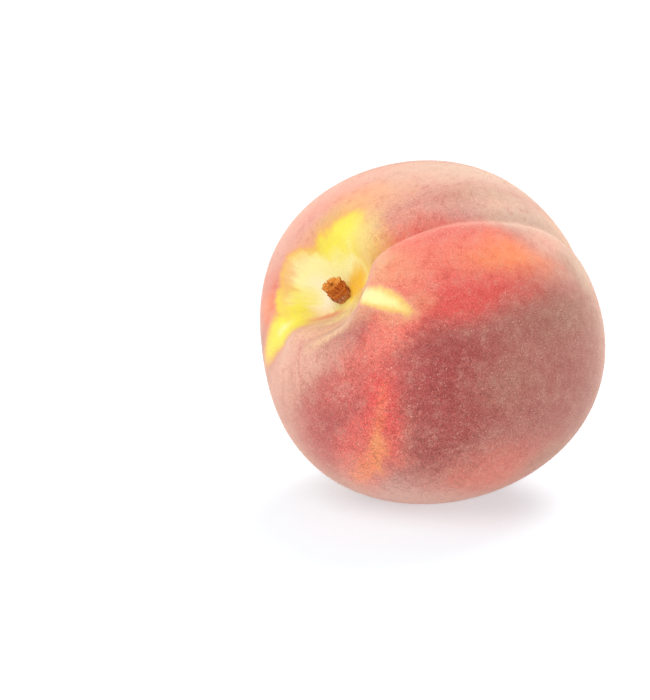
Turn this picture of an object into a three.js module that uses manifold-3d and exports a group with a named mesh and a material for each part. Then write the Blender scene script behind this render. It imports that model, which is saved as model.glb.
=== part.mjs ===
// A ripe peach, as picked: the fruit, grown as one solid with its stem cavity and
// its suture, and the short woody stub of the stem that stays in the cavity.
//
// Millimetres, +Z up. The peach lies on its cheek on a small flat spot. The origin
// is on the surface under it, below the middle of its outline, and the stem end
// looks towards -X, -Y and a little up.

import * as THREE from 'three';
import { mergeVertices } from 'three/addons/utils/BufferGeometryUtils.js';
import Module from 'manifold-3d';

const DEG = THREE.MathUtils.DEG2RAD;

// ---- Driving dimensions ----------------------------------------------------
// The fruit is described about its own core line: polar angles are counted from
// the stem end, azimuths from the suture, anticlockwise seen from the stem.

const cheekRadius = 37.0; // core line to cheek, at the widest ring
const poleRadius = 35.8; // centre to either end, before the cavity is sunk
const stemEndRise = 1.2; // the stem half is taller by this, the other half lower
const shoulderShare = 0.09; // the stem half is broader by this share

const tip = { height: 1.2, spread: 9 * DEG }; // point at the blossom end

const cavity = {
  depth: 10.4,
  radius: 10.6,
  steepness: 3.2, // 2 is a bell, more is a basin with steeper walls
  skew: { share: 0.12, azimuth: -6 * DEG }, // wider towards the suture
  pinch: { share: 0.16, azimuth: -130 * DEG, spread: 35 * DEG }, // narrower here
};

// Shallow dip in the cavity's rim, across from the suture
const furrow = {
  depth: 2.2,
  polar: 22 * DEG,
  azimuth: -172 * DEG,
  length: 12 * DEG,
  width: 18 * DEG,
};

const suture = {
  frontWidth: 1.1, // from the seam's line to half depth, on the front half of the fruit
  backWidth: 2.4, // the same on the back half
  depthAtCavity: 3.2,
  depthOnCheek: 0.8,
  stemTurn: 2 * DEG, // the seam leaves its meridian a little at either end
  blossomTurn: 2.5 * DEG,
};

// Soft swellings and hollows that make the two halves unlike
const swellings = [
  { polar: 36, azimuth: -55, spread: 24, height: 2.6 }, // shoulder beside the cavity
  { polar: 25, azimuth: -10, spread: 11, height: -1.2 }, // rounds off its corner
  { polar: 45, azimuth: 120, spread: 32, height: 1.5 },
  { polar: 55, azimuth: 165, spread: 28, height: -1.2 },
  { polar: 60, azimuth: -132, spread: 34, height: 1.7 },
  { polar: 125, azimuth: -55, spread: 40, height: 3.0 }, // full lower cheek
  { polar: 95, azimuth: -100, spread: 30, height: 0.6 },
  { polar: 120, azimuth: 25, spread: 28, height: -1.6 },
  { polar: 75, azimuth: 60, spread: 35, height: -0.9 },
];

const stub = {
  polar: 1.5 * DEG, // its foot, a little off the middle of the cavity
  azimuth: 115 * DEG,
  radius: 2.1,
  length: 4.4, // from the cavity floor to the picked end
  rootDepth: 1.4, // part that sits in the flesh
  tilt: 20 * DEG, // away from the core line
  tiltAzimuth: 43 * DEG,
  endSlope: 14 * DEG, // the picked end is not square
};
const socketGap = 0.3; // between the stub's root and the flesh

const rest = {
  heading: -142.5 * DEG, // where the stem end points, counted from +X
  lean: 65.5 * DEG, // core line away from upright
  roll: 137.2 * DEG, // turn of the fruit about its core line
  flatDepth: 0.9, // flesh pressed flat under the fruit
};

const fruitColumns = 64;
const fruitRows = 46;
const columnCrowding = 0.55; // draws columns towards the suture
const rowCrowding = 0.35; // draws rows towards the stem end

// ---- Helpers ---------------------------------------------------------------

const smooth = (from, to, x) => THREE.MathUtils.smoothstep(x, from, to);
const bell = (x, spread) => Math.exp(-((x / spread) ** 2));

// Signed angle from one azimuth to another, within half a turn
const turnBetween = (from, to) => Math.atan2(Math.sin(to - from), Math.cos(to - from));

const direction = (polar, azimuth) =>
  new THREE.Vector3(
    Math.sin(polar) * Math.cos(azimuth),
    Math.sin(polar) * Math.sin(azimuth),
    Math.cos(polar),
  );

const wasm = await Module();
wasm.setup();

// A closed geometry as a solid, with its shared corners joined
function solidOf(geometry) {
  const bare = geometry.clone();
  bare.deleteAttribute('normal');
  bare.deleteAttribute('uv');
  const merged = mergeVertices(bare, 1e-4);
  return new wasm.Manifold(
    new wasm.Mesh({
      numProp: 3,
      vertProperties: new Float32Array(merged.getAttribute('position').array),
      triVerts: new Uint32Array(merged.getIndex().array),
    }),
  );
}

function geometryOf(solid) {
  const mesh = solid.getMesh();
  const geometry = new THREE.BufferGeometry();
  geometry.setAttribute('position', new THREE.BufferAttribute(mesh.vertProperties, 3));
  geometry.setIndex(new THREE.BufferAttribute(mesh.triVerts, 1));
  geometry.computeVertexNormals();
  return geometry;
}

// ---- The fruit -------------------------------------------------------------

// How far the skin stands off the plain body in one direction
function swelling(polar, azimuth) {
  const here = direction(polar, azimuth);
  let height = 0;
  for (const bump of swellings) {
    const angle = here.angleTo(direction(bump.polar * DEG, bump.azimuth * DEG));
    height += bump.height * bell(angle, bump.spread * DEG);
  }
  return height;
}

// Azimuth of the seam's line, which isn't quite a meridian
function seamAzimuth(polar) {
  const atStem = suture.stemTurn * (1 - smooth(30 * DEG, 70 * DEG, polar));
  return atStem + suture.blossomTurn * smooth(60 * DEG, 130 * DEG, polar);
}

// Depth of the seam: deepest where it leaves the cavity, gone at the tip
function seamDepth(polar, offset) {
  const alongCheek = smooth(10 * DEG, 40 * DEG, polar) * (1 - smooth(165 * DEG, 178 * DEG, polar));
  const depth =
    suture.depthAtCavity * bell(polar - 26 * DEG, 20 * DEG) + suture.depthOnCheek * alongCheek;
  const halfWidth = offset < 0 ? suture.frontWidth : suture.backWidth;
  const across = (cheekRadius * Math.sin(polar) * offset) / halfWidth;
  const reach = Math.abs(offset) < Math.PI / 2 ? Math.cos(offset) ** 2 : 0;
  return (depth * reach) / (1 + across ** 2);
}

function furrowDepth(polar, azimuth) {
  const along = bell(polar - furrow.polar, furrow.length);
  return furrow.depth * along * bell(turnBetween(furrow.azimuth, azimuth), furrow.width);
}

function basinRadius(azimuth) {
  const { skew, pinch } = cavity;
  const narrowed = pinch.share * bell(turnBetween(pinch.azimuth, azimuth), pinch.spread);
  return cavity.radius * (1 + skew.share * Math.cos(azimuth - skew.azimuth) - narrowed);
}

// A point of the skin; offset is the azimuth counted from the seam's line
function skinPoint(polar, offset) {
  const azimuth = offset + seamAzimuth(polar);
  const up = Math.cos(polar);
  const plain = new THREE.Vector2(
    cheekRadius * Math.sin(polar) * (1 + shoulderShare * up),
    (poleRadius + stemEndRise * up) * up - tip.height * bell(Math.PI - polar, tip.spread),
  );
  const relief =
    swelling(polar, azimuth) - seamDepth(polar, offset) - furrowDepth(polar, azimuth);
  plain.setLength(plain.length() + relief);

  const basin = Math.exp(-((plain.x / basinRadius(azimuth)) ** cavity.steepness));
  const sunk = cavity.depth * basin * smooth(-0.2, 0.2, up);
  return new THREE.Vector3(
    plain.x * Math.cos(azimuth),
    plain.x * Math.sin(azimuth),
    plain.y - sunk,
  );
}

// A sphere's vertices moved onto the skin, crowded at the seam and the stem end
function fruitBody() {
  const sphere = new THREE.SphereGeometry(1, fruitColumns, fruitRows);
  sphere.rotateX(Math.PI / 2);
  const position = sphere.getAttribute('position');
  const vertex = new THREE.Vector3();
  for (let i = 0; i < position.count; i += 1) {
    vertex.fromBufferAttribute(position, i);
    const row = Math.acos(THREE.MathUtils.clamp(vertex.z, -1, 1));
    const column = Math.atan2(vertex.y, vertex.x);
    const polar = row - rowCrowding * Math.sin(row);
    const offset = column - columnCrowding * Math.sin(column);
    const moved = skinPoint(polar, offset);
    position.setXYZ(i, moved.x, moved.y, moved.z);
  }
  return sphere;
}

// ---- The stem --------------------------------------------------------------

// The stub's outline from root to picked end: radius, height above the floor
function stubProfile(grow) {
  const r = stub.radius;
  const outline = [
    [0.62 * r, -stub.rootDepth],
    [0.92 * r, -0.75 * stub.rootDepth],
    [1.1 * r, -0.1 * stub.rootDepth],
    [1.12 * r, 0.09 * stub.length],
    [0.94 * r, 0.2 * stub.length],
    [0.98 * r, 0.36 * stub.length],
    [1.06 * r, 0.5 * stub.length],
    [0.93 * r, 0.57 * stub.length],
    [0.96 * r, 0.8 * stub.length],
    [1.0 * r, 0.97 * stub.length],
    [0.88 * r, stub.length],
    [0.5 * r, 0.97 * stub.length],
  ];
  const bottom = outline[0][1] - grow;
  const top = outline.at(-1)[1] + grow;
  const points = outline.map(([radius, height]) => new THREE.Vector2(radius + grow, height));
  return [new THREE.Vector2(0, bottom), ...points, new THREE.Vector2(0, top)];
}

// A lathe turned slightly out of round, with its picked end cut on the slope
function stubBody(grow = 0) {
  const lathe = new THREE.LatheGeometry(stubProfile(grow), 22);
  lathe.rotateX(Math.PI / 2);
  const position = lathe.getAttribute('position');
  const vertex = new THREE.Vector3();
  for (let i = 0; i < position.count; i += 1) {
    vertex.fromBufferAttribute(position, i);
    const around = Math.atan2(vertex.y, vertex.x);
    const ridged = 1 + 0.03 * Math.cos(5 * around + 0.6) + 0.04 * Math.cos(2 * around);
    const rise = Math.max(0, vertex.z / stub.length) ** 3;
    const slope = rise * vertex.x * Math.tan(stub.endSlope);
    position.setXYZ(i, vertex.x * ridged, vertex.y * ridged, vertex.z - slope);
  }
  return lathe;
}

// ---- The peach -------------------------------------------------------------

const lying = new THREE.Group();
lying.rotateZ(rest.heading);
lying.rotateY(rest.lean);
lying.rotateZ(rest.roll);

// Lower the group until the flat spot is at z = 0, and centre it on the origin
const uncut = fruitBody();
lying.updateMatrix();
const outline = new THREE.Box3().setFromBufferAttribute(
  uncut.clone().applyMatrix4(lying.matrix).getAttribute('position'),
);
const middle = outline.getCenter(new THREE.Vector3());
lying.position.set(-middle.x, -middle.y, -(outline.min.z + rest.flatDepth));
lying.updateMatrix();

const stem = new THREE.Mesh(
  stubBody(),
  new THREE.MeshStandardMaterial({ color: 0x9c5218, roughness: 0.85, metalness: 0 }),
);
stem.name = 'stem';
stem.position.copy(skinPoint(stub.polar, stub.azimuth));
stem.rotateZ(stub.tiltAzimuth);
stem.rotateY(stub.tilt);
stem.updateMatrix();

function fruitMesh() {
  const groundHeight = 20;
  const ground = new THREE.BoxGeometry(100, 100, groundHeight);
  ground.translate(0, 0, -groundHeight / 2);
  ground.applyMatrix4(lying.matrix.clone().invert());
  const socket = stubBody(socketGap).applyMatrix4(stem.matrix);
  const fruit = solidOf(uncut).subtract(solidOf(ground)).subtract(solidOf(socket));
  const mesh = new THREE.Mesh(
    geometryOf(fruit),
    new THREE.MeshStandardMaterial({ color: 0xe0685c, roughness: 0.75, metalness: 0 }),
  );
  mesh.name = 'fruit';
  return mesh;
}

lying.add(fruitMesh(), stem);

const peach = new THREE.Group();
peach.add(lying);

export default peach;
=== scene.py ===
from math import cos, pi, radians, sin

import bpy
import numpy as np
from mathutils import Matrix, Vector


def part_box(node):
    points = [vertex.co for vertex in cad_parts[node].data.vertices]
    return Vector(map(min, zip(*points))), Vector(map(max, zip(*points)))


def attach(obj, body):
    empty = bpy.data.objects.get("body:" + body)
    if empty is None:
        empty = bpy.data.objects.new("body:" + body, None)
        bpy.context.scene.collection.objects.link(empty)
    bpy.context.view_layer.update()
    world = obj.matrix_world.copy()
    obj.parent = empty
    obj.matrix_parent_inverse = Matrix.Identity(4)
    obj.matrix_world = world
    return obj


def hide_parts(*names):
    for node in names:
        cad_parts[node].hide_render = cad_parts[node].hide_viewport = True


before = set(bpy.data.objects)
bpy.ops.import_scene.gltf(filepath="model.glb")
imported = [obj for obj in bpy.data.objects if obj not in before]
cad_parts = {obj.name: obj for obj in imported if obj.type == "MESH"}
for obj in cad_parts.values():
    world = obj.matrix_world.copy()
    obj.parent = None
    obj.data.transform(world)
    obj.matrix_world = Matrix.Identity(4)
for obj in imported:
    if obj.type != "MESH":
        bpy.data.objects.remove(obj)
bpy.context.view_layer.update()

mm = 0.001

# ---- The fruit -------------------------------------------------------------
# A ripe peach is one piece of flesh in a thin skin. It grew round its stem, which
# left a deep cavity, and its two halves meet in a seam, the suture. Polar angles
# count from the stem end, azimuths from the suture.

cheek_radius = 37.0 * mm
pole_radius = 35.8 * mm
stem_end_rise = 1.2 * mm
shoulder_share = 0.09
tip_height, tip_spread = 1.2 * mm, radians(9)
cavity_depth = 10.4 * mm
cavity_radius = 10.6 * mm
cavity_steepness = 3.2
cavity_skew, skew_azimuth = 0.12, radians(-6)
cavity_pinch, pinch_azimuth, pinch_spread = 0.16, radians(-130), radians(35)
furrow_depth, furrow_polar, furrow_azimuth = 2.2 * mm, radians(22), radians(-172)
furrow_length, furrow_width = radians(12), radians(18)
seam_width_front, seam_width_back = 1.1 * mm, 2.4 * mm
seam_depth_at_cavity, seam_depth_on_cheek = 3.2 * mm, 0.8 * mm
seam_deepest, seam_deep_spread = radians(26), radians(20)
seam_starts = radians(10), radians(40)  # where it deepens on the cheek
seam_ends = radians(165), radians(178)  # where it fades at the tip
seam_turn_at_stem, seam_turn_at_tip = radians(2), radians(2.5)
swellings = [  # polar angle, azimuth, spread in degrees, height
    (36, -55, 24, 2.6 * mm),
    (25, -10, 11, -1.2 * mm),
    (45, 120, 32, 1.5 * mm),
    (55, 165, 28, -1.2 * mm),
    (60, -132, 34, 1.7 * mm),
    (125, -55, 40, 3.0 * mm),
    (95, -100, 30, 0.6 * mm),
    (120, 25, 28, -1.6 * mm),
    (75, 60, 35, -0.9 * mm),
]
rest_heading, rest_lean, rest_roll = radians(-142.5), radians(65.5), radians(137.2)
flat_depth = 0.9 * mm
flat_softness = 0.35 * mm  # how gently the skin rounds into the flat spot

skin_columns, skin_rows = 352, 250
column_crowding = 0.55  # draws columns towards the suture
row_crowding = 0.35  # draws rows towards the stem end
streak_drift = 0.12  # how much the streaks change along a meridian


def smooth(start, end, x):
    t = np.clip((x - start) / (end - start), 0, 1)
    return t * t * (3 - 2 * t)


def bell(x, spread):
    return np.exp(-((x / spread) ** 2))


def direction(polar, azimuth):
    polar, azimuth = np.broadcast_arrays(polar, azimuth)
    across = np.sin(polar)
    return np.stack((across * np.cos(azimuth), across * np.sin(azimuth), np.cos(polar)), axis=-1)


def turned(azimuth):
    """The azimuth within half a turn of the suture."""
    return np.arctan2(np.sin(azimuth), np.cos(azimuth))


def swelling(polar, azimuth):
    here = direction(polar, azimuth)
    height = 0
    for bump_polar, bump_azimuth, spread, bump_height in swellings:
        bump = direction(radians(bump_polar), radians(bump_azimuth))
        angle = np.arccos(np.clip(here @ bump, -1, 1))
        height += bump_height * bell(angle, radians(spread))
    return height


def seam_azimuth(polar):
    at_stem = seam_turn_at_stem * (1 - smooth(radians(30), radians(70), polar))
    return at_stem + seam_turn_at_tip * smooth(radians(60), radians(130), polar)


def seam_depth(polar, offset):
    on_cheek = smooth(*seam_starts, polar)
    on_cheek *= 1 - smooth(*seam_ends, polar)
    depth = seam_depth_at_cavity * bell(polar - seam_deepest, seam_deep_spread)
    depth += seam_depth_on_cheek * on_cheek
    half_width = np.where(offset < 0, seam_width_front, seam_width_back)
    across = cheek_radius * np.sin(polar) * offset / half_width
    on_this_side = np.where(np.abs(offset) < pi / 2, np.cos(offset) ** 2, 0)
    return depth * on_this_side / (1 + across**2)


def furrow(polar, azimuth):
    along = bell(polar - furrow_polar, furrow_length)
    return furrow_depth * along * bell(turned(azimuth - furrow_azimuth), furrow_width)


def skin_points(polar, azimuth):
    """Points of the skin about the fruit's own core line, stem end up."""
    up = np.cos(polar)
    out = cheek_radius * np.sin(polar) * (1 + shoulder_share * up)
    height = (pole_radius + stem_end_rise * up) * up - tip_height * bell(pi - polar, tip_spread)
    offset = turned(azimuth - seam_azimuth(polar))
    relief = swelling(polar, azimuth) - seam_depth(polar, offset) - furrow(polar, azimuth)
    swollen = 1 + relief / np.hypot(out, height)
    out, height = out * swollen, height * swollen
    basin = cavity_radius * (
        1
        + cavity_skew * np.cos(azimuth - skew_azimuth)
        - cavity_pinch * bell(turned(azimuth - pinch_azimuth), pinch_spread)
    )
    on_stem_half = smooth(-0.2, 0.2, up)
    sunk = cavity_depth * np.exp(-((out / basin) ** cavity_steepness)) * on_stem_half
    return np.stack((out * np.cos(azimuth), out * np.sin(azimuth), height - sunk), axis=-1)


def deselect_all():
    for item in bpy.context.selected_objects:
        item.select_set(False)


def corners_of(mesh):
    flat = np.empty(len(mesh.vertices) * 3)
    mesh.vertices.foreach_get("co", flat)
    return flat.reshape(-1, 3)


def move_corners(mesh, places):
    mesh.vertices.foreach_set("co", np.ravel(places))
    mesh.update()


def add_vectors(mesh, name, values):
    layer = mesh.attributes.new(name, "FLOAT_VECTOR", "POINT")
    layer.data.foreach_set("vector", np.ravel(values))


lying = Matrix.Rotation(rest_heading, 3, "Z") @ Matrix.Rotation(rest_lean, 3, "Y")
lying = np.array(lying @ Matrix.Rotation(rest_roll, 3, "Z"))

deselect_all()
bpy.ops.mesh.primitive_uv_sphere_add(segments=skin_columns, ring_count=skin_rows, radius=1)
skin = bpy.context.object
skin.name = "downy_skin"
ball = corners_of(skin.data)
row = np.arccos(np.clip(ball[:, 2], -1, 1))
column = np.arctan2(ball[:, 1], ball[:, 0])
polar = row - row_crowding * np.sin(row)
azimuth = column - column_crowding * np.sin(column) + seam_azimuth(polar)
add_vectors(skin.data, "grown_at", direction(polar, azimuth))
round_stem = direction(pi / 2, azimuth)
add_vectors(skin.data, "unrolled", round_stem * np.degrees(polar)[:, None])
add_vectors(skin.data, "meridian", round_stem + np.outer(streak_drift * polar, (0, 0, 1)))

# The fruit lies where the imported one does, with its underside pressed flat
places = skin_points(polar, azimuth) @ lying.T
box_low, box_high = (np.array(corner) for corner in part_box("fruit"))
core = (box_low + box_high) / 2 - (places.min(axis=0) + places.max(axis=0)) / 2
core[2] = -places[:, 2].min() - flat_depth


def laid_down(places):
    """Points about the core line, moved to where the fruit lies."""
    laid = places @ lying.T + core
    laid[:, 2] = (laid[:, 2] + np.hypot(laid[:, 2], flat_softness)) / 2
    return laid


move_corners(skin.data, laid_down(skin_points(polar, azimuth)))
deselect_all()
skin.select_set(True)
bpy.ops.object.shade_smooth()


class Wire:
    """One socket of a shader; sums, differences and products of wires add Math nodes."""

    def __init__(self, shader, socket):
        self.shader = shader
        self.socket = socket

    def math(self, operation, first, second):
        return self.shader.node("Math", {"operation": operation}, {0: first, 1: second})

    def __add__(self, other):
        return self.math("ADD", self, other)

    __radd__ = __add__

    def __sub__(self, other):
        return self.math("SUBTRACT", self, other)

    def __rsub__(self, other):
        return self.math("SUBTRACT", other, self)

    def __mul__(self, other):
        return self.math("MULTIPLY", self, other)

    __rmul__ = __mul__


class Shader:
    """A new material with a Principled shader and the calls that add nodes to it."""

    def __init__(self, name):
        self.material = bpy.data.materials.new(name)
        self.material.use_nodes = True
        self.tree = self.material.node_tree
        self.surface = self.tree.nodes["Principled BSDF"]

    def set(self, socket, value):
        if isinstance(value, Wire):
            self.tree.links.new(value.socket, socket)
        else:
            socket.default_value = value

    def node(self, kind, settings=None, inputs=None, output=0):
        node = self.tree.nodes.new("ShaderNode" + kind)
        settings = dict(settings or {})
        stops = settings.pop("stops", None)
        for name, value in settings.items():
            setattr(node, name, value)
        if stops:
            ramp = node.color_ramp
            while len(ramp.elements) < len(stops):
                ramp.elements.new(1.0)
            for element, (place, tint) in zip(ramp.elements, stops):
                element.position, element.color = place, tint
        for key, value in (inputs or {}).items():
            self.set(node.inputs[key], value)
        return Wire(self, node.outputs[output])

    def surface_values(self, **values):
        for name, value in values.items():
            self.set(self.surface.inputs[name.replace("_", " ")], value)

    def mix(self, below, above, share):
        settings = {"data_type": "RGBA", "clamp_factor": True}
        return self.node("Mix", settings, {0: share, 6: below, 7: above}, output=2)

    def blend(self, below, above, share):
        """Like mix, for plain numbers."""
        settings = {"data_type": "FLOAT", "clamp_factor": True}
        return self.node("Mix", settings, {0: share, 2: below, 3: above})

    def steps(self, value, start, end, low=0.0, high=1.0):
        settings = {"interpolation_type": "SMOOTHSTEP"}
        inputs = {0: value, 1: start, 2: end, 3: low, 4: high}
        return self.node("MapRange", settings, inputs)

    def noise(self, at, scale, detail, roughness, output=0):
        inputs = {"Vector": at, "Scale": scale, "Detail": detail, "Roughness": roughness}
        return self.node("TexNoise", None, inputs, output)

    def vector(self, operation, first, second=None, output=0):
        inputs = {0: first} if second is None else {0: first, 1: second}
        return self.node("VectorMath", {"operation": operation}, inputs, output)

    def scaled(self, vector, by):
        return self.node("VectorMath", {"operation": "SCALE"}, {0: vector, "Scale": by})

    def attribute(self, name):
        """The piece's own vectors of that name."""
        return self.node("Attribute", {"attribute_name": name}, output=1)

    def parts(self, vector):
        """The three numbers of a vector."""
        first = self.node("SeparateXYZ", None, {"Vector": vector})
        return [Wire(self, output) for output in first.socket.node.outputs]

    def bump(self, height, strength, distance):
        inputs = {"Height": height, "Strength": strength, "Distance": distance}
        return self.node("Bump", None, inputs)


def linear(channel):
    return channel / 12.92 if channel <= 0.04045 else ((channel + 0.055) / 1.055) ** 2.4


def colour(code):
    return (*(linear(int(code[i : i + 2], 16) / 255) for i in (0, 2, 4)), 1.0)


# Paint on the skin is placed on the skin unrolled flat round the stem, in degrees:
# x toward the seam's open side, y toward the back of the fruit
shader = Shader("peach_skin")
grown = shader.attribute("grown_at")
unrolled = shader.attribute("unrolled")
meridian = shader.attribute("meridian")

# Edges follow the meridians in fine streaks, and wander slowly besides
no_shift = (0.5, 0.5, 0.5)  # the middle of a noise colour
streaks = shader.noise(meridian, 11, 5, 0.62)
waves = shader.vector("SUBTRACT", shader.noise(grown, 3.0, 2, 0.45, output=1), no_shift)
ripple = shader.vector("SUBTRACT", shader.noise(grown, 9.0, 3, 0.6, output=1), no_shift)


def drawn_out(along, aside, fine):
    """Places on the skin, moved along the meridians by the streaks and aside by the waves."""
    moved = shader.vector("ADD", unrolled, shader.scaled(meridian, along * (streaks - 0.5)))
    moved = shader.vector("ADD", moved, shader.scaled(waves, aside))
    return shader.vector("ADD", moved, shader.scaled(ripple, fine))


wandering = drawn_out(8, 6, 8)
crisp = drawn_out(3.5, 2.5, 4)
gentle = drawn_out(0, 2.5, 3)


def reach(x, y, length, width, turn, at):
    """Distance from the middle of an oval on the skin, 1 at its edge."""
    away = shader.vector("SUBTRACT", at, (x, y, 0))
    inputs = {"Vector": away, "Angle": -radians(turn)}
    away = shader.node("VectorRotate", {"rotation_type": "Z_AXIS"}, inputs)
    height = 1000  # so great that only x and y count
    share = shader.vector("DIVIDE", away, (length, width, height))
    return shader.vector("LENGTH", share, output=1)


def patch(x, y, length, width, turn, softness, at=wandering):
    """A soft oval on the skin, 1 inside it and 0 outside."""
    edge = reach(x, y, length, width, turn, at)
    return shader.steps(edge, 1 + softness, 1 - softness)


def painted(tone, strokes, at=wandering):
    """The tone under soft ovals of paint, each laid over the ones before."""
    for tint, strength, *oval in strokes:
        tone = shader.mix(tone, tints[tint], strength * patch(*oval, at=at))
    return tone


tints = {
    "cream": colour("F8F0A4"),
    "lemon": colour("F3E650"),
    "yellow": colour("EEDC50"),
    "gold": colour("EDC452"),
    "peach": colour("EBA476"),
    "pink": colour("ECAA98"),
    "blush": colour("DA9482"),
    "fawn": colour("CAAA94"),
    "haze": colour("E0AA9E"),
    "coral": colour("EA7A68"),
    "orange": colour("F68C5C"),
    "red": colour("E0544E"),
    "rose": colour("C85E5A"),
    "crimson": colour("A84A46"),
    "clay": colour("B26A60"),
    "dust": colour("E8AE98"),
    "amber": colour("F4BE18"),
    "dun": colour("BE9A80"),
    "apricot": colour("F2A050"),
    "sand": colour("F4CE9C"),
    "honey": colour("E8AE66"),
    "umber": colour("A4705E"),
    "ivory": colour("FEF8DC"),
}

# The blush, thin and coral in places, dense and crimson in others; coral where the light falls
# and crimson away from it, so that change is partly painted light and shade
blush = [  # tint, strength, x, y, half length, half width, turn, softness
    # the far lobe, from the seam up
    ("blush", 1.0, 10, 34, 54, 32, 8, 0.4),
    ("pink", 0.9, -6, 24, 18, 9, 20, 0.7),
    ("blush", 0.25, -5, 26, 9, 5, 20, 0.9),
    ("coral", 0.8, -24, 14, 13, 9, 120, 0.7),
    ("orange", 0.8, -22, 8, 10, 5, 150, 0.7),
    ("coral", 0.6, 18, 30, 22, 5, -4, 0.9),
    ("peach", 0.9, 22, 18, 16, 8, 20, 0.8),
    # painted sheen and shade of the down: beige and grey brown along the top edge
    ("fawn", 1.0, 62, 38, 38, 16, 6, 0.95),
    ("dun", 0.8, 26, 53, 26, 8, 0, 0.6),
    ("coral", 0.7, 34, 3, 15, 5, 5, 0.9),
    ("rose", 0.4, 50, 8, 12, 6, 10, 0.9),
    # painted sheen of the down: grey and pale along the seam
    ("dun", 0.7, 66, 12, 14, 8, 10, 0.9),
    ("haze", 0.6, 56, 4, 17, 5, 0, 0.9),
    ("dust", 0.5, 36, 7, 10, 5, 10, 0.9),
    ("dust", 0.8, 71, 5, 9, 5, 0, 0.9),
    ("dust", 0.4, 33, 2, 5, 3, 0, 0.9),
    ("apricot", 0.3, 20, 25.5, 9, 4, 0, 0.9),
    ("peach", 0.4, 33, -1.5, 5, 3, 0, 0.9),
    # painted sheen of the down: beige toward the right edge
    ("fawn", 0.9, 92, 6, 24, 13, 0, 0.95),
    # the back
    ("honey", 0.9, -20, 104, 62, 30, -14, 0.9),
    ("coral", 0.8, -60, 70, 36, 14, 40, 0.9),
    ("red", 0.7, 30, 92, 20, 34, -10, 0.9),
    ("crimson", 0.7, 74, 92, 22, 34, -40, 0.9),
    ("honey", 0.8, 128, 30, 26, 34, 10, 0.9),
    ("coral", 0.8, 150, -20, 30, 26, 0, 0.9),
    ("crimson", 0.7, -96, 20, 24, 30, 10, 0.9),
    ("honey", 0.7, -110, -46, 34, 26, 30, 0.9),
    ("red", 0.6, -80, 110, 26, 30, 40, 0.9),
    # the near lobe
    ("coral", 1.0, 42, -13, 34, 16, -12, 0.4),
    ("rose", 0.4, 48, -2, 9, 4, 0, 0.9),
    # painted sheen of the down: beige along the seam
    ("fawn", 0.7, 74, 1, 12, 5, 0, 0.9),
    ("orange", 1.0, 66, -18, 15, 7, -8, 0.9),
    ("dust", 0.8, 84, -10, 11, 7, 0, 0.9),
    ("dust", 0.4, 84, -26, 9, 5, 0, 0.9),
    # painted sheen and shade: grey brown and beige at the right edge
    ("dun", 1.0, 102, -18, 10, 12, -10, 0.6),
    ("fawn", 0.9, 112, -6, 12, 13, -10, 0.95),
    ("red", 0.9, 44, -29, 30, 7, -4, 0.9),
    ("crimson", 0.9, 26, -44, 18, 8, -8, 0.8),
    ("crimson", 1.0, 26, -57, 20, 13, -25, 0.7),
    # painted shade: browner toward the right edge
    ("umber", 0.6, 84, -42, 22, 12, 0, 0.9),
    ("umber", 0.35, 109, -44, 12, 26, 0, 0.9),
    ("dun", 0.3, 38, -63, 13, 8, 0, 0.9),
    # the near lobe's low side and shoulder
    ("coral", 0.7, -2, -95, 32, 16, -14, 0.8),
    # painted shade and sheen: browner low down, and pale pink at the left edge
    ("umber", 0.7, 23, -110, 18, 9, 0, 0.9),
    ("haze", 1.0, -44, -80, 24, 34, 10, 0.7),
    ("crimson", 0.9, 10, -67, 18, 8, 0, 0.7),
    ("blush", 0.6, -42, -22, 22, 20, 0, 0.7),
    ("rose", 1.0, -14, -40, 28, 12, 4, 0.7),
    ("crimson", 0.5, -16, -37, 15, 5, 4, 0.9),
    ("dust", 0.6, -16, -21, 16, 5, 0, 0.8),
    ("dust", 1.0, -18, -11, 20, 7, 0, 0.7),
    ("dust", 0.5, -15, -20, 7, 4, 0, 0.9),
    ("sand", 0.5, -3, -9, 9, 5, 0, 0.8),
    ("coral", 0.9, -18, -54, 24, 8, 8, 0.6),
    ("red", 0.5, -16, -49, 18, 5, 8, 0.8),
    ("coral", 1.0, 21, -27, 12, 5, 20, 0.8),
    ("peach", 0.6, 22, -23, 9, 3, -30, 0.9),
    ("peach", 0.35, 29, -24, 5, 3, 0, 0.9),
    ("coral", 0.5, 2, -33, 12, 6, 0, 0.9),
    ("rose", 0.4, -3.5, -36, 8, 4, 0, 0.9),
    ("dust", 0.35, -0.5, -25, 6, 3.5, 0, 0.9),
    ("dust", 0.35, -36, -54, 10, 5, 0, 0.9),
    ("coral", 0.5, -13, -62.5, 7, 4, 0, 0.9),
    ("sand", 0.2, 11, -18, 6, 3, -10, 0.9),
]
tone = painted(tints["clay"], blush)

# The golden ground shows where the skin was shaded, round the stem
golden = [  # x, y, half length, half width, turn, crispness
    (-3, 8, 10, 7.4, 140, 1.3),
    (4, 5.5, 9, 7, -20, 1.0),
    (12, 11, 8.5, 5.5, 18, 1.0),
    (5.5, 11.5, 6, 5.2, 0, 1.2),
    (-21, -0.5, 14, 3.9, 179, 1.2),
    (-13, 5.5, 6, 4, 55, 1.2),
    (18.6, -16.9, 9.5, 2.3, -48, 2.0),
]
golden_merging = 1.5  # degrees over which two ovals run together
golden_edge = (4.0, 0.6)  # degrees outside the ovals, from blush to ground
golden_span = (-8.0, 4.0)  # degrees outside the ovals, from cream to pink
outside = None
for *oval, crispness in golden:
    half_width = oval[3]
    beyond = (reach(*oval, at=crisp) - 1) * half_width * crispness
    if outside is None:
        outside = beyond
    else:
        settings = {"operation": "SMOOTH_MIN"}
        outside = shader.node("Math", settings, {0: outside, 1: beyond, 2: golden_merging})
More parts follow.
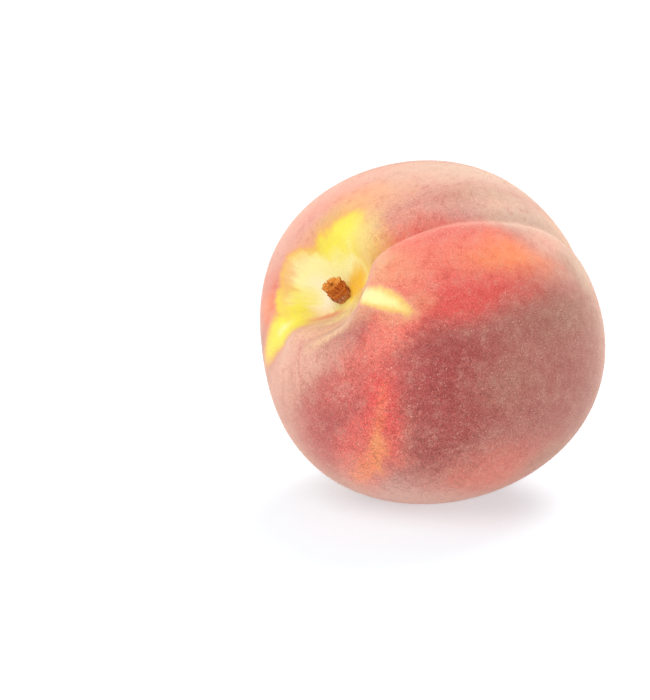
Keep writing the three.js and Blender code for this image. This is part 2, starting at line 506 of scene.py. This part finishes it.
ground = shader.node(
    "ValToRGB",
    {
        "stops": [
            (0.0, tints["cream"]),
            (0.25, tints["cream"]),
            (0.45, tints["lemon"]),
            (0.6, tints["yellow"]),
            (0.7, tints["gold"]),
            (0.85, tints["peach"]),
            (1.0, tints["pink"]),
        ]
    },
    {0: shader.node("MapRange", None, {0: outside, 1: golden_span[0], 2: golden_span[1]})},
)
tone = shader.mix(tone, ground, shader.steps(outside, *golden_edge))

touches = [  # tint, strength, x, y, half length, half width, turn, softness
    # the cream floor of the cavity, its pale ground brightened as painted light in place of light
    # through the flesh, and its gold and amber side, yellow deepened as painted shade; and the
    # streak over the near lobe
    # painted shade: gold on the cavity's right wall, where it lies in shade
    ("gold", 0.7, 18, 3, 9, 5, 10, 0.8),
    ("gold", 0.6, 20, 9, 6, 6, 30, 0.9),
    ("peach", 0.8, 24, -9, 9, 6, -30, 0.9),
    ("cream", 1.0, -3, 8, 9.2, 6.8, 140, 0.2),
    ("cream", 1.0, 4, 5.5, 8, 6, -20, 0.2),
    ("cream", 1.0, -5, 3, 7, 4.5, 150, 0.3),
    ("gold", 0.45, 12, 19.5, 10, 3.5, 0, 0.9),
    ("lemon", 0.8, 12, 13, 8, 3, 8, 0.8),
    # painted shade: amber where the cavity's wall beside the stem lies in shade
    ("amber", 0.9, 5.3, 1.4, 6, 3.2, 35, 0.6),
    # painted light: paler lemon in the shadow beside the stem's foot
    ("lemon", 0.6, 2.5, -4, 5, 3, -20, 0.9),
    ("sand", 0.35, 25, 3, 11, 3.2, 77, 0.9),
    ("cream", 0.4, 18, 6.5, 8, 4, 45, 0.9),
    ("peach", 0.65, -11.3, 11.5, 9, 1.8, 61, 0.9),
    ("peach", 0.4, -3.5, 16.5, 5, 2, 30, 0.9),
    ("cream", 0.5, -3, -6.6, 5, 2, -10, 0.9),
    ("cream", 0.6, 17, -14.4, 5, 1.3, -58, 0.7),
    # painted light: ivory and cream below the stem, paler against the shade there
    ("ivory", 0.9, -6.5, 4, 5, 2.8, 70, 0.9),
    ("cream", 0.5, 0.5, -5, 4, 2.5, -20, 0.9),
    ("coral", 0.4, 28, -12, 5, 3.5, 0, 0.9),
    ("lemon", 0.6, -10.5, 4.5, 4, 2.5, 30, 0.8),
    ("sand", 0.4, -8.8, -0.5, 3.5, 2, 0, 0.9),
    ("sand", 0.55, 18.6, -16.9, 10, 2.7, -48, 0.5),
    ("cream", 0.9, 18.6, -16.9, 9, 1.6, -48, 0.5),
    # the flame down the near lobe
    ("red", 0.7, 3, -45.5, 9, 5.5, 70, 0.3),
    ("red", 0.8, -2, -49, 17, 6, 42, 0.5),
    ("orange", 0.5, -7, -51, 15, 2, 34, 0.8),
    ("apricot", 0.6, -15, -56, 8, 1.5, 30, 0.8),
    ("peach", 0.5, -13.5, -56, 5, 3, 30, 0.9),
    ("crimson", 0.75, 11, -52.5, 7.5, 4.5, 0, 0.9),
    ("orange", 0.8, -24, -56, 12, 3, 0, 0.8),
]
tone = painted(tone, touches, at=crisp)

# Shallow wrinkles run round the shoulder of the stem cavity, with a painted highlight along their
# crests and painted shade in their troughs
folds = [  # tint, strength, height, x, y, half length, half width, turn
    ("red", 0.6, -1.0, -7.5, -2.6, 4, 1.1, -10),
    ("dust", 0.7, 0.8, -4, -9.4, 6, 1.3, 35),
    ("crimson", 0.35, -0.8, -1, -13.4, 8, 1.0, 10),
    ("sand", 0.65, 0.8, 0, -17.2, 8, 1.7, -4),
]
fold_softness = 0.9
relief = 0.0
for tint, strength, height, *oval in folds:
    fold = patch(*oval, fold_softness, at=gentle)
    tone = shader.mix(tone, tints[tint], strength * fold)
    relief = relief + height * fold

# The down lies unevenly over the blush, dusty where it is matted and red where it is thin
dust_share = 0.32
thin_down = (0.88, 0.7, 0.72)  # what the red, green and blue of the tone come to
blushed = shader.steps(outside, 0.0, 5.0)
matted = shader.noise(grown, 15, 5, 0.75)
dusty = shader.mix(tone, colour("D0A08C"), dust_share)
reddened = shader.vector("MULTIPLY", tone, thin_down)
tone = shader.mix(tone, dusty, blushed * shader.steps(matted, 0.48, 0.7))
tone = shader.mix(tone, reddened, blushed * shader.steps(matted, 0.52, 0.3))
tone = shader.mix(tone, reddened, 0.6 * blushed * shader.steps(streaks, 0.52, 0.72))

# Its tips are a grain of pale and dark specks, strongest low on the near lobe and
# beside the seam on the far one
dark_specks, pale_specks = (0.58, 0.54, 0.55), (1.42, 1.5, 1.45)  # times the tone
grain = shader.noise(grown, 120, 2, 0.6)
mottle = shader.noise(grown, 45, 3, 0.7)
ragged = 0.2
ragged_places = [  # strength, x, y, half length, half width, turn, softness
    (1.2, -5, -62, 55, 40, 0, 0.9),
    (0.55, 48, 9, 24, 9, 0, 0.9),
]
for strength, *oval in ragged_places:
    ragged = ragged + strength * patch(*oval)
grained = ragged * (0.25 + 0.75 * blushed)
darker = shader.vector("MULTIPLY", tone, dark_specks)
paler = shader.vector("MULTIPLY", tone, pale_specks)
tone = shader.mix(tone, darker, grained * shader.steps(grain, 0.5, 0.2))
tone = shader.mix(tone, paler, grained * shader.steps(grain, 0.5, 0.8))
tone = shader.mix(tone, darker, 0.5 * grained * shader.steps(mottle, 0.5, 0.3))

# The flower left a dry scar at the blossom end
scar_edge = (176.5, 178.5)  # degrees from the stem
scar = shader.steps(shader.vector("LENGTH", crisp, output=1), *scar_edge)
tone = shader.mix(tone, colour("6E4A32"), scar)

# Small cream dots lie scattered over the blush
dots = shader.node("TexVoronoi", None, {"Vector": grown, "Scale": 40, "Randomness": 1.0})
sparse = shader.steps(shader.noise(grown, 6, 2, 0.6), 0.45, 0.65)
tone = shader.mix(tone, colour("F0D6BC"), 0.6 * sparse * blushed * shader.steps(dots, 0.17, 0.08))
shader.surface_values(
    Normal=shader.bump(grain + mottle + 4.0 * relief, 0.5, 0.1 * mm),
    Base_Color=tone,
    Roughness=0.75,
    Sheen_Weight=0.8,
    Sheen_Roughness=0.45,
    Sheen_Tint=colour("F0D8C4"),
    Specular_IOR_Level=0.25,
)
skin.data.materials.append(shader.material)
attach(skin, "root")
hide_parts("fruit")


# ---- The down --------------------------------------------------------------
# Short pale hairs cover the skin, each a single tapering cell. They lean every way,
# and a few stand longer and thicker than the rest.

down_lots = 3
hairs_in_lot = 49_500
hair_length, hair_width = 0.3 * mm, 0.03 * mm
bare_polar = radians(5)  # round the stem
golden_turn = pi * (3 - 5**0.5)
scatter = 0.3  # of the spacing between hairs
lean_least, lean_most = radians(15), radians(75)
tall_share, tall_length, tall_width = 0.08, 2.2, 1.6
tall_lean_least, tall_lean_most = radians(55), radians(80)
root_depth = 0.03 * mm
table_clearance = 0.05 * mm

draw = np.random.default_rng(11)
hairs = down_lots * hairs_in_lot
spacing = (4 * pi / hairs) ** 0.5
number = np.arange(hairs)
polar = np.arccos(1 - (2 * number + 1) / hairs) + draw.normal(0, scatter * spacing, hairs)
polar = np.clip(polar, bare_polar, pi - radians(0.5))
azimuth = number * golden_turn + draw.normal(0, scatter * spacing, hairs) / np.sin(polar)

step = radians(0.1)
roots = skin_points(polar, azimuth)
along = skin_points(polar + step, azimuth) - skin_points(polar - step, azimuth)
side = skin_points(polar, azimuth + step) - skin_points(polar, azimuth - step)
along, side = (v / np.linalg.norm(v, axis=1, keepdims=True) for v in (along, side))
out = np.cross(along, side)
out /= np.linalg.norm(out, axis=1, keepdims=True)
side = np.cross(out, along)

tall = draw.random(hairs) < tall_share
lean = draw.uniform(lean_least, lean_most, hairs)
lean[tall] = draw.uniform(tall_lean_least, tall_lean_most, tall.sum())
swing = draw.uniform(0, 2 * pi, hairs)
length = hair_length * draw.uniform(0.5, 1.5, hairs)
width = hair_width * draw.uniform(0.8, 1.3, hairs)
length[tall] *= tall_length
width[tall] *= tall_width
leaning = along * np.cos(swing)[:, None] + side * np.sin(swing)[:, None]
axis = out * np.cos(lean)[:, None] + leaning * np.sin(lean)[:, None]
tips = roots + axis * length[:, None]
across = np.cross(axis, side)
across /= np.linalg.norm(across, axis=1, keepdims=True)
beside = np.cross(axis, across)
feet = [
    roots - out * root_depth + (across * cos(turn) + beside * sin(turn)) * width[:, None] / 2
    for turn in (0, 2 * pi / 3, 4 * pi / 3)
]
corners = np.stack([*feet, tips], axis=1)
corners = corners @ lying.T + core
clear = corners[:, :, 2].min(axis=1) > table_clearance
shade = draw.uniform(0.02, 0.98, hairs)  # a place across the sheet, clear of its edges

# Each hair's faces lie on the sheet by its shade and by the way from its foot to its tip
shader = Shader("pale_down")
sheet = shader.node("UVMap", {"uv_map": "OFBake"})
shade_at, to_tip, _ = shader.parts(sheet)
stretched = shader.node("Mapping", None, {"Vector": sheet, "Scale": (60, 4, 1)})
bands = shader.noise(stretched, 3, 3, 0.6)
paleness = shader.steps(shade_at + 0.4 * bands, 0.3, 1.0)
tone = shader.mix(colour("DCA494"), colour("ECC2B2"), paleness)
tone = shader.mix(tone, colour("F6DCD0"), shader.steps(to_tip + 0.3 * bands, 0.3, 1.1))
shader.surface_values(
    Base_Color=tone,
    Roughness=shader.blend(0.7, 0.5, to_tip),
    Specular_IOR_Level=0.3,
)
hair_faces = np.array([(0, 1, 3), (1, 2, 3), (2, 0, 3), (0, 2, 1)])  # three feet and a tip
sheet_aside = np.array([-0.002, 0.0, 0.002, 0.0])
sheet_up = np.array([0.02, 0.04, 0.02, 0.98])
for lot in range(down_lots):
    chosen = clear & (number % down_lots == lot)
    mesh = bpy.data.meshes.new(f"down_{lot + 1}")
    count = int(chosen.sum())
    first = 4 * np.arange(count)[:, None, None]
    mesh.from_pydata(corners[chosen].reshape(-1, 3), [], (first + hair_faces).reshape(-1, 3))
    corner = np.tile(hair_faces.ravel(), count)
    shades = np.repeat(shade[chosen], hair_faces.size)
    places = np.stack((shades + sheet_aside[corner], sheet_up[corner]), axis=1)
    mesh.uv_layers.new(name="OFBake").uv.foreach_set("vector", places.ravel())
    mesh.materials.append(shader.material)
    down = bpy.data.objects.new(f"down_{lot + 1}", mesh)
    bpy.context.scene.collection.objects.link(down)
    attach(down, "root")


# ---- The stem --------------------------------------------------------------
# Picking leaves a short stub of woody stem in the cavity. Its bark is ridged, with a
# ring half way; its end is torn; dark dry scales, the rest of the bud, sit at its foot.

stub_polar, stub_azimuth = radians(1.5), radians(115)
stub_radius, stub_length = 2.1 * mm, 4.4 * mm
stub_lean, stub_lean_azimuth = radians(20), radians(43)
stub_end_slope = radians(14)
bark_ridges, bark_cracks = 0.055 * mm, 0.03 * mm
end_waves, end_roughness = 0.14 * mm, 0.1 * mm
# the side of the stub's foot given the pale dry colour: real dry bark, lightened as painted light
# because it lies in shade
dry_and_painted_light_side, dry_and_painted_light_spread = radians(-165), radians(75)
stub_outline = [  # share of the way from root to pith, radius, height
    (0.00, 0.00, -0.32),
    (0.04, 0.60, -0.32),
    (0.09, 0.80, -0.18),
    (0.15, 0.90, -0.02),
    (0.21, 0.95, 0.09),
    (0.27, 0.93, 0.17),
    (0.36, 0.96, 0.36),
    (0.42, 0.99, 0.45),
    (0.45, 1.07, 0.49),
    (0.48, 1.06, 0.53),
    (0.50, 0.93, 0.56),
    (0.62, 0.95, 0.80),
    (0.73, 1.01, 0.95),
    (0.76, 0.99, 0.99),
    (0.79, 0.93, 1.00),
    (0.83, 0.84, 0.94),
    (0.91, 0.45, 0.92),
    (0.97, 0.12, 0.94),
    (1.00, 0.00, 0.90),
]
splits = [  # torn places in the rim of the end: azimuth, depth, spread
    (-165, 0.45 * mm, 8),
    (140, 0.5 * mm, 7),
    (85, 0.3 * mm, 6),
    (20, 0.25 * mm, 5),
]
scale_count = 15
scale_length, scale_width, scale_tip = 1.5 * mm, 0.85 * mm, 0.05 * mm
scale_flatness = 0.28  # thickness for width
scale_lift = 0.3 * mm


def ripples(seed, around, along, fewest, most):
    """Irregular waves round the stub, between -1 and 1 or so."""
    wave_count = 14
    chance = np.random.default_rng(seed)
    total = 0
    for _ in range(wave_count):
        count = chance.integers(fewest, most)
        start = chance.uniform(0, 2 * pi)
        drift = chance.normal()
        total = total + np.cos(count * around + start + drift * along)
    return total / wave_count**0.5


deselect_all()
bpy.ops.mesh.primitive_uv_sphere_add(segments=256, ring_count=170, radius=1)
stem = bpy.context.object
stem.name = "stem_stub"
ball = corners_of(stem.data)
share = 1 - np.arccos(np.clip(ball[:, 2], -1, 1)) / pi
around = np.arctan2(ball[:, 1], ball[:, 0])
shares, radii, heights = np.transpose(stub_outline)
radius = stub_radius * np.interp(share, shares, radii)
height = stub_length * np.interp(share, shares, heights)
on_bark = smooth(0.1, 0.2, share) * (1 - smooth(0.76, 0.8, share))
on_end = smooth(0.77, 0.8, share)
above_root = smooth(0, 1, height / stub_length)
radius *= 1 + 0.03 * np.cos(5 * around + 0.6) + 0.04 * np.cos(2 * around)
radius += on_bark * bark_ridges * ripples(3, around, height / mm, 7, 40)
radius += on_bark * bark_cracks * ripples(4, 3 * around, 9 * height / mm, 1, 6)
height += above_root**3 * end_waves * ripples(5, around, 0, 3, 22)
height += on_end * end_roughness * ripples(6, around, 2.5 * radius / mm, 3, 12)
height -= above_root**3 * radius * np.cos(around) * np.tan(stub_end_slope)
for split_azimuth, depth, spread in splits:
    torn = bell(turned(around - radians(split_azimuth)), radians(spread))
    height -= depth * torn * smooth(0.68, 0.78, share) * smooth(0.4, 0.8, radius / stub_radius)
places = (radius * np.cos(around), radius * np.sin(around), height)
move_corners(stem.data, np.stack(places, axis=-1))
on_end_share = np.where(share > 0.77, radius / stub_radius, 1)

chance = np.random.default_rng(17)
pieces = [stem]
for number in range(scale_count):
    turn = 2 * pi * (number + chance.uniform(-0.3, 0.3)) / scale_count
    size = chance.uniform(0.55, 1.15)
    spread = radians(chance.uniform(6, 28))
    out = 0.98 * stub_radius + 0.4 * size * scale_length * sin(spread)
    bpy.ops.mesh.primitive_cone_add(
        vertices=16,
        radius1=scale_width / 2,
        radius2=scale_tip,
        depth=scale_length,
        location=(out * cos(turn), out * sin(turn), scale_lift + 0.4 * size * scale_length),
        rotation=(0, spread, turn),
        scale=(scale_flatness, chance.uniform(0.6, 1.1), size),
    )
    pieces.append(bpy.context.object)
deselect_all()
for piece in pieces:
    piece.select_set(True)
bpy.context.view_layer.objects.active = stem
bpy.ops.object.transform_apply(location=True, rotation=True, scale=True)
bpy.ops.object.join()

# The material's places, from before the stub is tilted: where in the wood, and which part
wood = corners_of(stem.data)
stub_corners = len(share)
end_share = np.ones(len(wood))
end_share[:stub_corners] = on_end_share
end = np.zeros(len(wood))
end[:stub_corners] = on_end
dryness_and_painted_light = np.ones(len(wood))
on_dry_and_painted_light_side = bell(turned(around - dry_and_painted_light_side), dry_and_painted_light_spread)
near_foot = 1 - smooth(0.15, 0.42, height / stub_length)
dryness_and_painted_light[:stub_corners] = (0.3 + 0.7 * on_dry_and_painted_light_side) * near_foot
add_vectors(stem.data, "wood_at", wood / mm)
add_vectors(stem.data, "wood_part", np.stack((end, end_share, dryness_and_painted_light), axis=-1))
stub_turn = Matrix.Rotation(stub_lean_azimuth, 3, "Z") @ Matrix.Rotation(stub_lean, 3, "Y")
foot = skin_points(np.array([stub_polar]), np.array([stub_azimuth]))
move_corners(stem.data, (wood @ np.array(stub_turn).T + foot) @ lying.T + core)
deselect_all()
stem.select_set(True)
bpy.ops.object.shade_smooth()

shader = Shader("woody_stem")
wood_at = shader.attribute("wood_at")
on_end, end_share, dryness_and_painted_light = shader.parts(shader.attribute("wood_part"))
fibres = shader.noise(shader.vector("MULTIPLY", wood_at, (3.2, 3.2, 0.5)), 1.6, 5, 0.65)
flecks = shader.noise(wood_at, 5.5, 3, 0.7)
tone = shader.mix(colour("A64C18"), colour("E88E38"), shader.steps(fibres, 0.36, 0.64))
tone = shader.mix(tone, colour("6A2E14"), 0.7 * shader.steps(flecks, 0.44, 0.3))
torn = shader.mix(colour("C66C1E"), colour("F8AC4C"), shader.steps(flecks, 0.35, 0.62))
torn = shader.mix(torn, colour("FCC060"), 0.8 * shader.steps(end_share, 0.8, 0.92))
torn = shader.mix(torn, colour("A8601C"), 0.7 * shader.steps(end_share, 0.3, 0.1))
tone = shader.mix(tone, torn, on_end)
# The foot and the bud scales take the pale dry colour: real dry bark and scales, lightened as
# painted light on the side that lies in shade
husk_and_painted_light = shader.mix(colour("C07A54"), colour("F0B894"), shader.steps(fibres, 0.4, 0.7))
husk_and_painted_light = shader.mix(husk_and_painted_light, colour("5E3020"), 0.7 * shader.steps(flecks, 0.45, 0.34))
tone = shader.mix(tone, husk_and_painted_light, dryness_and_painted_light)
shader.surface_values(
    Normal=shader.bump(fibres + 0.6 * flecks, 0.9, 0.15 * mm),
    Base_Color=tone,
    Roughness=shader.steps(fibres, 0.3, 0.7, 0.6, 0.9),
    Specular_IOR_Level=0.3,
)
stem.data.materials.append(shader.material)
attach(stem, "root")
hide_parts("stem")


# ---- The table, the light and the camera -----------------------------------
# The fruit lies on a plain white table, just clear of it, under even studio light: the
# whole room glows, with one soft light at the front and one behind.

table_size = 6
table_gap = 0.1 * mm
room_glow = 0.6

deselect_all()
bpy.ops.mesh.primitive_plane_add(size=table_size, location=(0, 0, -table_gap))
table = bpy.context.object
table.name = "table"
shader = Shader("white_table")
shader.surface_values(
    Base_Color=(0.535, 0.585, 0.605, 1),
    Roughness=0.7,
    Emission_Color=(0.46, 0.48, 0.50, 1),
    Emission_Strength=1.0,
)
table.data.materials.append(shader.material)

world = bpy.data.worlds.new("studio")
bpy.context.scene.world = world
world.use_nodes = True
background = world.node_tree.nodes["Background"]
background.inputs["Color"].default_value = (1, 1, 1, 1)
background.inputs["Strength"].default_value = room_glow


def softbox(name, place, size, power):
    light = bpy.data.lights.new(name, "AREA")
    light.shape = "SQUARE"
    light.size = size
    light.energy = power
    lamp = bpy.data.objects.new(name, light)
    bpy.context.scene.collection.objects.link(lamp)
    lamp.location = place
    aim = Vector(core) - Vector(place)
    lamp.rotation_euler = aim.to_track_quat("-Z", "Y").to_euler()


softbox("key", (-0.45, -0.5, 0.75), 0.8, 5.0)
softbox("rim", (0.3, 0.55, 0.75), 0.7, 9.0)

camera_rise = radians(15)
camera_distance = 0.6
picture_width, picture_height = 650, 700  # pixels
picture_scale = 4.6 / mm  # pixels to a metre at the fruit
core_across, core_down = 434.5, 331.5  # pixels from the picture's top left corner
right = Vector((1, 0, 0))
back = Vector((0, -cos(camera_rise), sin(camera_rise)))
up = back.cross(right)
camera_data = bpy.data.cameras.new("camera")
camera = bpy.data.objects.new("camera", camera_data)
bpy.context.scene.collection.objects.link(camera)
aside = (core_across - picture_width / 2) / picture_scale
above = (picture_height / 2 - core_down) / picture_scale
camera.location = Vector(core) + back * camera_distance - right * aside - up * above
camera.rotation_euler = Matrix((right, up, back)).transposed().to_euler()
camera_data.lens = picture_scale * camera_distance * camera_data.sensor_width / picture_height
bpy.context.scene.camera = camera
bpy.context.scene.view_settings.view_transform = "Standard"
